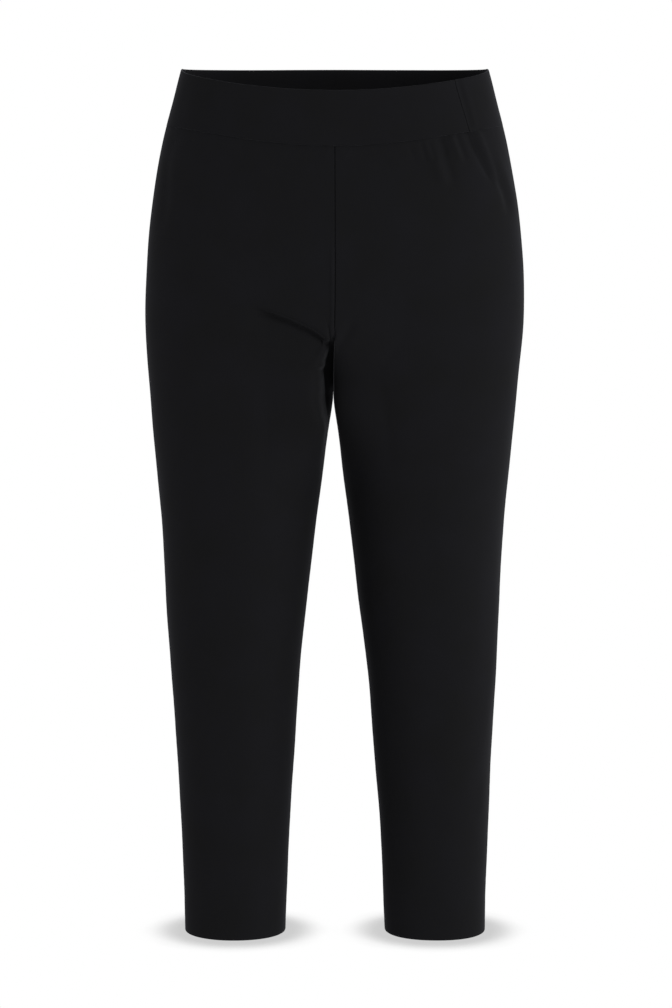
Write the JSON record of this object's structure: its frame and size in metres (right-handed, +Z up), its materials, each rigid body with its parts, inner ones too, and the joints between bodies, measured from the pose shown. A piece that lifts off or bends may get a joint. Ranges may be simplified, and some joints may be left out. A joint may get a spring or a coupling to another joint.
{
  "type": "leggings",
  "caption": "Cropped pull-on leggings of black jersey with a wide elasticated waistband and tapered legs, open at waist and hems and filled out as if worn.",
  "frame": {"origin": "the middle of the waist hollow, level with half the height of the waistband at its sides, which is where the wearer's waist holds the leggings up", "axes": "+Z up out of the waist, -Y out of the front, +X towards the wearer's left"},
  "size_m": [0.4059, 0.2672, 0.9359],
  "materials": {
    "waistband_jersey": "black double-knit jersey, matt with a soft sheen at grazing angles",
    "leg_jersey": "black double-knit jersey, matt with a soft sheen at grazing angles"
  },
  "bodies": {
    "root": {"waistband_front": "waistband_jersey", "waistband_back": "waistband_jersey", "leg_front_left": "leg_jersey", "leg_front_right": "leg_jersey", "leg_back_left": "leg_jersey", "leg_back_right": "leg_jersey"}
  },
  "joints": []
}
